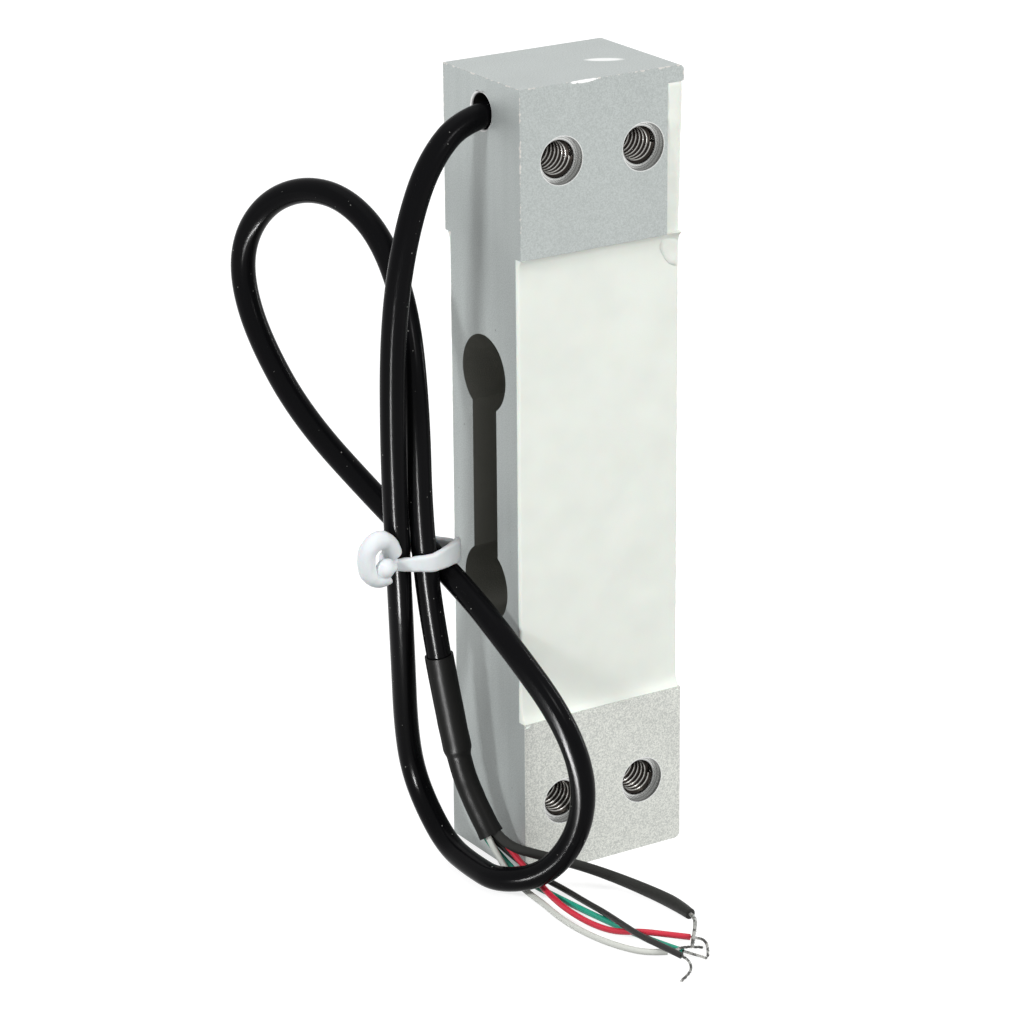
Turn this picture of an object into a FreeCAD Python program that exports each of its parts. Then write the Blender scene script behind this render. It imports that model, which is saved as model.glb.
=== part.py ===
"""Single point load cell: an aluminium bending bar with bonded strain gauges and a cable.

Millimetres. +Z runs along the bar, the front face looks towards -Y and the cable leaves
on the -X side. The origin is the middle of the bar's bottom end.
"""
import FreeCAD, Part
import math
import os

V = FreeCAD.Vector

# ---- bar ---------------------------------------------------------------------------------
BAR_LENGTH = 130.0
BAR_WIDTH = 30.0
BAR_THICKNESS = 22.0
CORNER_RADIUS = 1.0            # rounded end corners on the +X side only
END_BLOCK_LENGTH = 26.75       # full-thickness block at each end
RECESS_DEPTH = 1.55            # gauge recess milled in the front and the back face

# ---- double-bore cut-out, straight through in X ------------------------------------------
CUTOUT_BORE = 12.6
CUTOUT_BORE_SPACING = 35.0
CUTOUT_SLOT_WIDTH = 7.0

# ---- bolt holes, straight through in Y -----------------------------------------------------
BOLT_HOLE = 6.0                # outside diameter of the M6 thread
BOLT_SPACING = BAR_WIDTH / 2
BOLT_END_DISTANCE = 12.0
BOLT_RELIEF = 7.6              # plain counterbore at each mouth
BOLT_RELIEF_DEPTH = 1.2

# ---- cable entry and lead channel ----------------------------------------------------------
CABLE_HOLE = 5.6
CABLE_HOLE_END_DISTANCE = 5.5
CHANNEL_DEPTH = BAR_WIDTH / 10  # pocket in the +X side, from the cable hole to the recesses
CHANNEL_CLEARANCE = 0.1        # pocket end above the cable hole

# ---- sealant -------------------------------------------------------------------------------
POTTING_THICKNESS = 0.5
POTTING_SET_BACK = 0.4         # from the bar's sides
POTTING_EDGE_RADIUS = 0.35
CHANNEL_FILL_SET_BACK = 0.25   # from the bar's side face
CHANNEL_FILL_TOP_DROP = 0.15   # below the front and back faces at the channel's upper end
CHANNEL_FILL_EDGE_RADIUS = 0.5
SEAM_WIDTH = 4.6               # tongue of channel sealant over the potting's corner
SEAM_HEIGHT = 8.0

# ---- gauges, leads and junction board ------------------------------------------------------
GAUGE_LENGTH = 9.0
GAUGE_WIDTH = 6.0
GAUGE_THICKNESS = 0.1
TAB_SIZE = 1.4
TAB_HEIGHT = 0.08
TAB_PITCH = 3.0
FINE_LEAD = 0.14
FINE_LEAD_PITCH = 0.2
LANE_START = 9.5               # x of the first lead lane beside the gauges
LANE_PITCH = 0.5
BOARD_THICKNESS = 0.8
BOARD_WIDTH = 12.0
BOARD_LENGTH = 11.0
BOARD_RISE = 1.6               # lower edge above the recess's end
CORE_DIAMETER = 0.9
CORE_SPACING = 1.1             # between core centres inside the cable
CORE_CLEARANCE = 0.1           # between the lower cores and the channel's floor
CORE_OVERLAP = 3.0             # length of the upper cores beside the board

# ---- cable and wires -----------------------------------------------------------------------
CABLE_DIAMETER = 4.0
WIRE_DIAMETER = 1.0
SHIELD_DIAMETER = 1.6
TIN_DIAMETER = 0.5
CABLE_ROUTE_HOLE_Z = 124.5       # height of the cable hole that the route is drawn for
CABLE_ROUTE_STILL_Z = 60.0       # points above this rise and fall with the cable hole
CABLE_ROUTE = [
    (-8.0, -0.4, 124.5), (-17.6, -0.4, 124.5), (-25.0, -1.0, 118.5), (-29.3, -1.0, 107.6),
    (-31.5, -0.2, 93.0), (-31.5, 0.5, 72.0), (-29.6, 2.5, 51.0), (-26.5, 7.0, 34.5),
    (-24.2, 10.4, 21.5), (-22.6, 11.2, 13.0), (-21.6, 8.1, 6.7), (-21.5, 2.0, 2.5),
    (-21.9, -6.0, 2.2), (-21.7, -13.7, 2.4), (-17.2, -20.9, 5.2), (-12.6, -23.3, 12.2),
    (-11.35, -22.9, 21.2), (-13.85, -20.05, 31.2), (-18.0, -12.5, 41.0), (-20.0, -0.2, 48.6),
    (-27.2, 12.4, 60.0), (-33.2, 26.0, 71.6), (-35.7, 35.2, 83.0), (-36.5, 38.8, 92.3),
    (-35.6, 38.3, 99.6), (-33.2, 34.4, 105.5), (-30.0, 28.0, 108.5), (-27.1, 20.6, 107.8),
    (-25.1, 13.2, 102.8), (-25.3, 5.8, 93.2), (-26.6, 1.0, 79.0), (-27.0, 0.0, 60.0),
    (-23.6, 2.0, 39.2), (-21.8, -1.6, 21.2),
]

# ---- heat-shrink sleeve --------------------------------------------------------------------
SLEEVE_START = (-23.3, 1.4, 36.2)      # on the cable's last straight run
SLEEVE_BENDS = [(-21.5, -2.2, 18.2), (-20.7, -4.3, 13.2)]
SLEEVE_MOUTH = (-19.3, -7.6, 7.7)
SLEEVE_WALL = 0.3
SLEEVE_NECK = 3.9                       # outside diameter round the bare wires
SLEEVE_BORE_EASE = 0.2                  # the neck's wall is this much thinner over its diameter
SLEEVE_SHOULDER = 1.2                   # length of the taper down to the neck
SLEEVE_FLARE = 0.3                      # the mouth is this much wider than the neck
SLEEVE_FLARE_LENGTH = 1.6

# wires inside the sleeve: offsets to the right and to the front of the sleeve's axis
WIRE_OFFSETS = {
    "white_wire": (-1.12, 0.12), "green_wire": (-0.56, -0.98), "black_wire": (0.56, -0.98),
    "red_wire": (1.12, 0.12), "shield_sleeve": (0.0, 0.82),
}
SLEEVE_RIGHT = (0.92, 0.39, 0.0)
WIRE_ROUTES = {
    "white_wire": [(-19.3, -10.1, 4.3), (-18.7, -12.5, 1.9), (-18.0, -16.2, 0.55),
                   (-18.1, -21.0, 0.52), (-18.7, -26.5, 0.52), (-18.6, -32.0, 0.52),
                   (-17.6, -37.5, 0.52), (-15.9, -42.0, 0.52), (-14.0, -44.9, 0.6),
                   (-11.7, -46.5, 0.8)],
    "green_wire": [(-18.4, -9.1, 4.2), (-17.2, -12.0, 1.9), (-15.8, -15.3, 0.6),
                   (-15.0, -20.0, 0.52), (-14.3, -25.5, 0.52), (-13.2, -32.0, 0.52),
                   (-12.0, -38.0, 0.52), (-10.8, -43.0, 0.52), (-9.3, -47.1, 0.52)],
    "red_wire": [(-17.3, -10.5, 5.4), (-16.8, -13.6, 3.6), (-16.5, -17.4, 2.2),
                 (-16.9, -21.8, 1.6), (-17.0, -26.4, 1.2), (-16.0, -31.5, 0.6),
                 (-14.3, -36.0, 0.55), (-12.0, -39.9, 1.65), (-9.2, -42.6, 1.5),
                 (-5.9, -44.2, 0.8)],
    "black_wire": [(-17.2, -9.7, 4.6), (-15.85, -13.35, 3.0), (-13.7, -15.2, 1.2),
                   (-12.5, -19.0, 0.6), (-12.3, -24.5, 0.6), (-12.9, -30.7, 1.45),
                   (-13.6, -37.0, 2.05), (-13.5, -42.0, 2.0), (-12.6, -46.2, 1.9),
                   (-11.3, -49.7, 1.3)],
    "shield_sleeve": [(-17.9, -11.8, 6.6), (-15.6, -14.8, 6.1), (-12.0, -17.0, 4.9),
                      (-8.2, -19.0, 3.4), (-5.0, -21.6, 2.0), (-2.9, -25.2, 1.2),
                      (-1.7, -29.4, 0.95), (-1.1, -33.7, 0.9), (-1.3, -37.6, 0.9)],
}
# bare ends, from each wire's end face; each starts where its wire stops
TIN_STRAIGHT = 1.0              # first part of a bare end, in line with its wire
TIN_ROUTES = {
    "black_tinned_end": ("black_wire", [(-11.2, -52.3, 0.7), (-12.6, -53.9, 0.4),
                                        (-15.1, -55.1, 0.3)]),
    "green_tinned_end": ("green_wire", [(-8.1, -49.3, 0.4), (-7.4, -50.9, 0.3)]),
    "red_tinned_end": ("red_wire", [(-4.2, -45.7, 0.5), (-5.0, -47.9, 0.35),
                                    (-6.8, -50.3, 0.3)]),
    "white_tinned_end": ("white_wire", [(-9.2, -47.3, 1.4), (-6.1, -47.9, 0.6)]),
    "drain_wire": ("shield_sleeve", [(-3.4, -42.3, 1.7), (-8.1, -48.0, 1.6)]),
}

# ---- twist tie round the three strands -----------------------------------------------------
TIE_HEIGHT = 53.2              # middle of the band
TIE_WIDTH = 3.0
TIE_THICKNESS = 0.7
TIE_CLEARANCE = 0.1
TIE_STRANDS = [(-29.65, 2.5), (-25.85, 0.7), (-21.6, 2.5), (-24.2, 7.2)]
TIE_KNOT = 2.7                 # diameter of the ball at the end
TIE_HOOK_DIAMETER = 1.8        # the thick end that curls up and round to the ball
TIE_HOOK = [
    (-31.75, 1.2, 53.2), (-32.5, 0.4, 57.2), (-33.7, -0.1, 59.3), (-36.0, 0.0, 59.1),
    (-37.3, 0.2, 56.6), (-36.9, 0.0, 53.4), (-35.0, -0.4, 52.1), (-33.5, -0.9, 54.2),
]

# ---- worked out from the sizes above -------------------------------------------------------
HALF_W = BAR_WIDTH / 2
HALF_T = BAR_THICKNESS / 2
FLOOR_Y = HALF_T - RECESS_DEPTH                       # recess floor, front at -Y, back at +Y
RECESS_BOTTOM = END_BLOCK_LENGTH
RECESS_TOP = BAR_LENGTH - END_BLOCK_LENGTH
CUTOUT_Z = [BAR_LENGTH / 2 - CUTOUT_BORE_SPACING / 2, BAR_LENGTH / 2 + CUTOUT_BORE_SPACING / 2]
BOLT_Z = [BOLT_END_DISTANCE, BAR_LENGTH - BOLT_END_DISTANCE]
CABLE_HOLE_Z = BAR_LENGTH - CABLE_HOLE_END_DISTANCE
CHANNEL_FLOOR = HALF_W - CHANNEL_DEPTH
CHANNEL_TOP = CABLE_HOLE_Z + CABLE_HOLE / 2 + CHANNEL_CLEARANCE
ARC_SHARE = 0.45               # share of the shorter run that an arc takes up


def point(values):
    return V(*values)


def box(low, high):
    """Box between two opposite corners."""
    size = [high[i] - low[i] for i in range(3)]
    return Part.makeBox(size[0], size[1], size[2], V(*low))


def rod(start, end, diameter):
    """Round rod from one point to another."""
    axis = end - start
    return Part.makeCylinder(diameter / 2, axis.Length, start, axis)


def cone(start, end, diameter_a, diameter_b):
    axis = end - start
    return Part.makeCone(diameter_a / 2, diameter_b / 2, axis.Length, start, axis)


def lengthwise_edges(shape, x_limit, y_limit):
    """Straight edges that run along Z outside the given distances from the axis."""
    found = []
    for edge in shape.Edges:
        ends = [vertex.Point for vertex in edge.Vertexes]
        if len(ends) != 2 or abs(ends[0].x - ends[1].x) > 1e-6:
            continue
        if abs(ends[0].z - ends[1].z) < 1.0:
            continue
        if abs(ends[0].x) > x_limit and min(abs(p.y) for p in ends) > y_limit:
            found.append(edge)
    return found


# ---- bar -----------------------------------------------------------------------------------
def bar_blank():
    """Rectangular bar whose two +X end corners are rounded."""
    blank = box((-HALF_W, -HALF_T, 0), (HALF_W, HALF_T, BAR_LENGTH))
    corners = []
    for edge in blank.Edges:
        middle = edge.CenterOfMass
        if abs(middle.y) < 1e-6 and middle.x > 0:
            corners.append(edge)
    return blank.makeFillet(CORNER_RADIUS, corners)


def gauge_recesses():
    cutters = []
    for side in (-1, 1):
        low_y, high_y = sorted((side * FLOOR_Y, side * (HALF_T + 1)))
        cutters.append(box((-HALF_W - 1, low_y, RECESS_BOTTOM), (HALF_W + 1, high_y, RECESS_TOP)))
    return cutters


def cutout():
    """Two bores joined by a slot: leaves four thin flexures that carry the gauges."""
    start, end = V(-HALF_W - 1, 0, 0), V(HALF_W + 1, 0, 0)
    tools = []
    for height in CUTOUT_Z:
        tools.append(rod(start + V(0, 0, height), end + V(0, 0, height), CUTOUT_BORE))
    half_slot = CUTOUT_SLOT_WIDTH / 2
    tools.append(box((start.x, -half_slot, CUTOUT_Z[0]), (end.x, half_slot, CUTOUT_Z[1])))
    return tools


def bolt_holes():
    tools = []
    for x in (-BOLT_SPACING / 2, BOLT_SPACING / 2):
        for z in BOLT_Z:
            tools.append(rod(V(x, -HALF_T - 1, z), V(x, HALF_T + 1, z), BOLT_HOLE))
            for side in (-1, 1):
                mouth = V(x, side * (HALF_T + 1), z)
                bottom = V(x, side * (HALF_T - BOLT_RELIEF_DEPTH), z)
                tools.append(rod(mouth, bottom, BOLT_RELIEF))
    return tools


def cable_hole(diameter=CABLE_HOLE, start=-HALF_W - 1):
    return rod(V(start, 0, CABLE_HOLE_Z), V(CHANNEL_FLOOR, 0, CABLE_HOLE_Z), diameter)


def lead_channel():
    return box((CHANNEL_FLOOR, -HALF_T - 1, RECESS_TOP), (HALF_W + 1, HALF_T + 1, CHANNEL_TOP))


def beam_body():
    tools = gauge_recesses() + cutout() + bolt_holes() + [cable_hole(), lead_channel()]
    return bar_blank().cut(tools)


# ---- gauges, board and leads ---------------------------------------------------------------
def strain_gauge(side, height):
    """Foil gauge on the recess floor over a thin wall, with two solder tabs at its +X end."""
    low_y, high_y = sorted((side * FLOOR_Y, side * (FLOOR_Y + GAUGE_THICKNESS)))
    half_l, half_w = GAUGE_LENGTH / 2, GAUGE_WIDTH / 2
    gauge = box((-half_w, low_y, height - half_l), (half_w, high_y, height + half_l))
    top = FLOOR_Y + GAUGE_THICKNESS
    tab_y = sorted((side * top, side * (top + TAB_HEIGHT)))
    for shift in (-TAB_PITCH / 2, TAB_PITCH / 2):
        middle = height + shift
        low = (half_w - TAB_SIZE, tab_y[0], middle - TAB_SIZE / 2)
        gauge = gauge.fuse(box(low, (half_w, tab_y[1], middle + TAB_SIZE / 2)))
    return gauge.removeSplitter()


def fine_leads(side):
    """Four enamelled leads from the two gauges of one face to the edge of the board."""
    y_low, y_high = sorted((side * FLOOR_Y, side * (FLOOR_Y + FINE_LEAD)))
    half = FINE_LEAD / 2
    leads = []
    tabs = [(z, shift) for z in reversed(CUTOUT_Z) for shift in (TAB_PITCH / 2, -TAB_PITCH / 2)]
    for number, (gauge_z, shift) in enumerate(tabs):
        lane = LANE_START + number * LANE_PITCH
        start_z = gauge_z + shift
        turn_z = RECESS_TOP - FINE_LEAD - number * FINE_LEAD_PITCH
        board_x = CHANNEL_FLOOR + half + number * FINE_LEAD_PITCH
        rise_z = RECESS_TOP + BOARD_RISE + FINE_LEAD + number * FINE_LEAD_PITCH
        edge_y = side * BOARD_WIDTH / 2
        parts = [
            box((GAUGE_WIDTH / 2, y_low, start_z - half), (lane + half, y_high, start_z + half)),
            box((lane - half, y_low, start_z - half), (lane + half, y_high, turn_z + half)),
            box((lane - half, y_low, turn_z - half), (board_x + half, y_high, turn_z + half)),
            box((board_x - half, y_low, turn_z - half), (board_x + half, y_high, rise_z + half)),
        ]
        run = sorted((edge_y, side * (FLOOR_Y + FINE_LEAD)))
        parts.append(box((board_x - half, run[0], rise_z - half),
                         (board_x + half, run[1], rise_z + half)))
        leads.append(parts[0].fuse(parts[1:]).removeSplitter())
    return leads


def junction_board():
    low_z = RECESS_TOP + BOARD_RISE
    return box((CHANNEL_FLOOR, -BOARD_WIDTH / 2, low_z),
               (CHANNEL_FLOOR + BOARD_THICKNESS, BOARD_WIDTH / 2, low_z + BOARD_LENGTH))


def core_corners(row, column):
    """One insulated core: from the cable's end face, through the hole and down to the board.

    The two lower cores end on the board's upper edge, the two upper ones on its face.
    """
    start = cable_points()[0]
    y = start.y + row * CORE_SPACING / 2
    z = start.z + column * CORE_SPACING / 2
    board_top = RECESS_TOP + BOARD_RISE + BOARD_LENGTH
    x = CHANNEL_FLOOR + CORE_CLEARANCE + CORE_DIAMETER / 2
    end_z = board_top
    if column > 0:
        x += CORE_SPACING
        end_z -= CORE_OVERLAP
    return V(start.x, y, z), V(x, y, z), V(x, y, end_z)


def inner_cores():
    cores = []
    for row in (-1, 1):
        for column in (-1, 1):
            start, corner, end = core_corners(row, column)
            elbow = Part.makeSphere(CORE_DIAMETER / 2, corner)
            core = rod(start, corner, CORE_DIAMETER).fuse([elbow, rod(corner, end, CORE_DIAMETER)])
            cores.append(core.removeSplitter())
    return cores


# ---- sealant -------------------------------------------------------------------------------
def seam_tongue(side):
    """Corner of the recess that the channel sealant covers, bounded by a quarter ellipse."""
    inner_x = HALF_W - POTTING_SET_BACK - SEAM_WIDTH
    outer_x = HALF_W - POTTING_SET_BACK
    low_z = RECESS_TOP - SEAM_HEIGHT
    y = side * FLOOR_Y
    middle = V(inner_x + SEAM_WIDTH * (1 - math.cos(math.pi / 4)), y,
               RECESS_TOP - SEAM_HEIGHT * math.sin(math.pi / 4))
    corners = [V(inner_x, y, RECESS_TOP), V(outer_x, y, low_z), V(outer_x, y, RECESS_TOP)]
    edges = [Part.Arc(corners[0], middle, corners[1]).toShape(),
             Part.LineSegment(corners[1], corners[2]).toShape(),
             Part.LineSegment(corners[2], corners[0]).toShape()]
    return Part.Face(Part.Wire(edges)).extrude(V(0, side * POTTING_THICKNESS, 0))


def face_potting(side, buried):
    """Thin coat of white sealant over the gauges of one face."""
    edge_x = HALF_W - POTTING_SET_BACK
    low_y, high_y = sorted((side * FLOOR_Y, side * (FLOOR_Y + POTTING_THICKNESS)))
    coat = box((-edge_x, low_y, RECESS_BOTTOM), (edge_x, high_y, RECESS_TOP))
    surface = FLOOR_Y + POTTING_THICKNESS
    coat = coat.makeFillet(POTTING_EDGE_RADIUS, lengthwise_edges(coat, edge_x - 0.01, surface - 0.01))
    return coat.cut([seam_tongue(side)] + buried)


def channel_sealant(buried):
    """Fill of the lead channel, flush at its upper end and level with the potting below."""
    outer_x = HALF_W - CHANNEL_FILL_SET_BACK
    high = HALF_T - CHANNEL_FILL_TOP_DROP
    low = FLOOR_Y + POTTING_THICKNESS
    outline = [V(CHANNEL_FLOOR, -low, RECESS_TOP), V(CHANNEL_FLOOR, low, RECESS_TOP),
               V(CHANNEL_FLOOR, high, CHANNEL_TOP), V(CHANNEL_FLOOR, -high, CHANNEL_TOP)]
    face = Part.Face(Part.makePolygon(outline + outline[:1]))
    fill = face.extrude(V(outer_x - CHANNEL_FLOOR, 0, 0))
    edges = []
    for edge in fill.Edges:
        middle = edge.CenterOfMass
        if abs(middle.x - outer_x) < 1e-6 and abs(middle.y) > low:
            edges.append(edge)
    fill = fill.makeFillet(CHANNEL_FILL_EDGE_RADIUS, edges)
    return fill.fuse([seam_tongue(-1), seam_tongue(1)]).cut(buried).removeSplitter()


def entry_sealant(cores):
    """Plug that holds the cable's end in its hole."""
    return cable_hole(CABLE_HOLE, cable_points()[0].x).cut(cores)


# ---- cords ---------------------------------------------------------------------------------
def rounded_path(points, name):
    """Straight runs joined by tangent arcs; prints the length and the tightest arc."""
    edges = []
    last = points[0]
    tightest = None
    for before, corner, after in zip(points, points[1:], points[2:]):
        inward = (before - corner)
        outward = (after - corner)
        turn = math.pi - inward.getAngle(outward)
        reach = ARC_SHARE * min(inward.Length, outward.Length)
        radius = reach / math.tan(turn / 2)
        inward.normalize()
        outward.normalize()
        arc_start = corner + inward * reach
        arc_end = corner + outward * reach
        to_centre = inward + outward
        to_centre.normalize()
        middle = corner + to_centre * (radius / math.cos(turn / 2) - radius)
        edges.append(Part.LineSegment(last, arc_start).toShape())
        edges.append(Part.Arc(arc_start, middle, arc_end).toShape())
        last = arc_end
        tightest = radius if tightest is None else min(tightest, radius)
    edges.append(Part.LineSegment(last, points[-1]).toShape())
    path = Part.Wire(edges)
    print("%s: length %.1f mm, tightest arc %.1f mm" % (name, path.Length, tightest))
    return path


def cord_tube(points, diameter, name):
    path = rounded_path(points, name)
    start = points[0]
    ring = Part.Wire(Part.makeCircle(diameter / 2, start, points[1] - start))
    tube = path.makePipeShell([ring], True, False)
    expected = math.pi * diameter ** 2 / 4 * path.Length
    if abs(tube.Volume / expected - 1) > 0.01:
        raise ValueError("%s: volume %.2f, expected %.2f" % (name, tube.Volume, expected))
    return tube


def cable_points():
    """The cable's route, its upper part stretched to meet the cable hole."""
    stretch = (CABLE_HOLE_Z - CABLE_ROUTE_STILL_Z) / (CABLE_ROUTE_HOLE_Z - CABLE_ROUTE_STILL_Z)
    points = []
    for x, y, z in CABLE_ROUTE:
        above = max(z - CABLE_ROUTE_STILL_Z, 0.0)
        points.append(V(x, y, z + above * (stretch - 1)))
    return points


def sleeve_axis():
    """Cable end, bends and mouth of the sleeve's centre line below the cable."""
    return [cable_points()[-1]] + [point(p) for p in SLEEVE_BENDS] + [point(SLEEVE_MOUTH)]


def inside_sleeve(name):
    """Points of one wire beside the sleeve's axis, in planes square to the axis."""
    across, forward = WIRE_OFFSETS[name]
    axis = sleeve_axis()
    steps = [(end - start).normalize() for start, end in zip(axis, axis[1:])]
    bends = [(before + after).normalize() for before, after in zip(steps, steps[1:])]
    points = []
    for centre, direction in zip(axis, steps[:1] + bends + steps[-1:]):
        front = direction.cross(point(SLEEVE_RIGHT)).normalize()
        right = front.cross(direction)
        points.append(centre + right * across + front * forward)
    return points


def wire_points(name):
    """Whole route of one wire: inside the sleeve by its offsets, then along its free route."""
    return inside_sleeve(name) + [point(p) for p in WIRE_ROUTES[name]]


def heat_shrink_sleeve(cable):
    """Sleeve shrunk over the cable's end and, below a shoulder, round the bare wires."""
    start = point(SLEEVE_START)
    axis = sleeve_axis()
    wide = CABLE_DIAMETER + 2 * SLEEVE_WALL
    bore = SLEEVE_NECK - 2 * SLEEVE_WALL + SLEEVE_BORE_EASE
    down = axis[1] - axis[0]
    down.normalize()
    shoulder = axis[0] + down * SLEEVE_SHOULDER
    outside = rod(start, axis[0], wide).fuse([
        cone(axis[0], shoulder, wide, SLEEVE_NECK), rod(shoulder, axis[1], SLEEVE_NECK)])
    inside = rod(axis[0], axis[1], bore)
    for before, after in zip(axis[1:], axis[2:]):
        outside = outside.fuse([Part.makeSphere(SLEEVE_NECK / 2, before),
                                rod(before, after, SLEEVE_NECK)])
        inside = inside.fuse([Part.makeSphere(bore / 2, before), rod(before, after, bore)])
    last = (axis[-1] - axis[-2]).normalize()
    flare = axis[-1] - last * SLEEVE_FLARE_LENGTH
    outside = outside.fuse(cone(flare, axis[-1], SLEEVE_NECK, SLEEVE_NECK + SLEEVE_FLARE))
    inside = inside.fuse(cone(flare, axis[-1], bore, bore + SLEEVE_FLARE))
    return outside.cut([inside, cable]).removeSplitter()


# ---- twist tie -----------------------------------------------------------------------------
def belt_outline(centres, radius, z):
    """Wire of a taut belt round equal circles, given in order round the loop."""
    edges = []
    count = len(centres)
    tangents = []
    for index in range(count):
        here = V(centres[index][0], centres[index][1], z)
        there = V(centres[(index + 1) % count][0], centres[(index + 1) % count][1], z)
        along = there - here
        along.normalize()
        normal = V(along.y, -along.x, 0)
        tangents.append((here + normal * radius, there + normal * radius))
        edges.append(Part.LineSegment(*tangents[-1]).toShape())
    for index in range(count):
        centre = V(centres[index][0], centres[index][1], z)
        arrive = tangents[index - 1][1]
        leave = tangents[index][0]
        outward = (arrive - centre) + (leave - centre)
        outward.normalize()
        edges.append(Part.Arc(arrive, centre + outward * radius, leave).toShape())
    return Part.Wire(Part.__sortEdges__(edges))


def twist_tie(cable):
    """Flat band hugging the cable's strands, its thick end curled round to a ball at the left.

    The third strand runs aslant, so the band follows it between two places.
    """
    inner = CABLE_DIAMETER / 2 + TIE_CLEARANCE
    low_z = TIE_HEIGHT - TIE_WIDTH / 2
    rise = V(0, 0, TIE_WIDTH)
    outer_belt = Part.Face(belt_outline(TIE_STRANDS, inner + TIE_THICKNESS, low_z)).extrude(rise)
    inner_belt = Part.Face(belt_outline(TIE_STRANDS, inner, low_z)).extrude(rise)
    lift = V(0, 0, TIE_HEIGHT - TIE_HOOK[0][2])
    points = [point(p) + lift for p in TIE_HOOK]
    hook = cord_tube(points, TIE_HOOK_DIAMETER, "twist_tie")
    ball = Part.makeSphere(TIE_KNOT / 2, points[-1])
    return outer_belt.fuse([hook, ball]).cut([inner_belt, cable]).removeSplitter()


# ---- assembly ------------------------------------------------------------------------------
def electronics():
    pieces = {"junction_board": junction_board(), "cable_cores": Part.makeCompound(inner_cores())}
    for face, side in (("front", -1), ("back", 1)):
        for place, height in zip(("lower", "upper"), CUTOUT_Z):
            pieces["%s_%s_gauge" % (face, place)] = strain_gauge(side, height)
        pieces[face + "_gauge_leads"] = Part.makeCompound(fine_leads(side))
    return pieces


def buried_solids(pieces):
    """Every solid that the sealant flows round."""
    solids = []
    for shape in pieces.values():
        solids.extend(shape.Solids)
    return solids


def cords():
    pieces = {"cable_jacket": cord_tube(cable_points(), CABLE_DIAMETER, "cable_jacket")}
    for name in WIRE_ROUTES:
        diameter = SHIELD_DIAMETER if name == "shield_sleeve" else WIRE_DIAMETER
        pieces[name] = cord_tube(wire_points(name), diameter, name)
    for name, (wire, route) in TIN_ROUTES.items():
        before, start = [point(p) for p in WIRE_ROUTES[wire][-2:]]
        ahead = start + (start - before).normalize() * TIN_STRAIGHT
        points = [start, ahead] + [point(p) for p in route]
        pieces[name] = cord_tube(points, TIN_DIAMETER, name)
    return pieces


def build():
    pieces = {"beam_body": beam_body()}
    inner = electronics()
    buried = buried_solids(inner)
    pieces.update(inner)
    pieces["front_potting"] = face_potting(-1, buried)
    pieces["back_potting"] = face_potting(1, buried)
    pieces["channel_sealant"] = channel_sealant(buried)
    pieces["entry_sealant"] = entry_sealant(buried)
    free = cords()
    pieces.update(free)
    pieces["heat_shrink_sleeve"] = heat_shrink_sleeve(free["cable_jacket"])
    pieces["twist_tie"] = twist_tie(free["cable_jacket"])
    return pieces


def main():
    os.makedirs("parts", exist_ok=True)
    for name, shape in build().items():
        if not shape.isValid():
            print("not valid:", name)
        print("%-20s solids %d  volume %.2f" % (name, len(shape.Solids), shape.Volume))
        shape.exportStep(os.path.join("parts", name + ".step"))


main()
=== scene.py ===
"""Dresses the CAD frame of a single point load cell: metal, sealant, cable, wires and stage."""

import math

import bmesh
import bpy
from bpy.props import FloatProperty, FloatVectorProperty, PointerProperty
from mathutils import Matrix, Vector


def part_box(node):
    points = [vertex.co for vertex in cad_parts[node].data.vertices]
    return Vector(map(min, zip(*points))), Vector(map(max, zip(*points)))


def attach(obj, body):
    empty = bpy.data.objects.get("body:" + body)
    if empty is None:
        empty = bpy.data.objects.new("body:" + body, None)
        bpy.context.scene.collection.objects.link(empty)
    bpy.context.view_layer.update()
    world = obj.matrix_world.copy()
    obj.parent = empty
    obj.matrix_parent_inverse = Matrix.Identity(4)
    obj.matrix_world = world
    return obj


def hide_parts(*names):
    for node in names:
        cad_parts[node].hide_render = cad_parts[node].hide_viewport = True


bl_info = {
    "name": "Single Point Load Cell",
    "version": (1, 0, 0),
    "blender": (4, 5, 0),
    "location": "View3D > Sidebar > Load Cell",
    "description": "Builds a single point load cell round its CAD frame",
    "category": "Object",
}

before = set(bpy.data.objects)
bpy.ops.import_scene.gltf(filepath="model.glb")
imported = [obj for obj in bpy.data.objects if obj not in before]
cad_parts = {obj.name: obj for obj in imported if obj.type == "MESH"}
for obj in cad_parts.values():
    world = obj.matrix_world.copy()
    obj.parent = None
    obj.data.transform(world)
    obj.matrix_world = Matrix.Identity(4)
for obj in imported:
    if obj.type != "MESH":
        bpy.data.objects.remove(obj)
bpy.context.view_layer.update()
MM = 0.001
MERGE_DISTANCE = 0.001 * MM
SLACK = 0.01 * MM                # when vertices are found by their place

BAR_HALF_WIDTH, BAR_HALF_THICKNESS, BAR_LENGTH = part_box("beam_body")[1]
BOLT_X = BAR_HALF_WIDTH / 2
BOLT_FROM_END = 12.0 * MM
BOLT_HOLE_RADIUS = 3.0 * MM
BOLT_RELIEF_RADIUS = 3.8 * MM
BOLT_RELIEF_DEPTH = 1.2 * MM
CABLE_HOLE_Z = BAR_LENGTH - 5.5 * MM
CABLE_HOLE_RADIUS = 2.8 * MM
CUT_OUT_LOW, CUT_OUT_HIGH = 41 * MM, 89 * MM
CUT_OUT_REACH = 6.6 * MM         # from the bar's middle plane to either side

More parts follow.
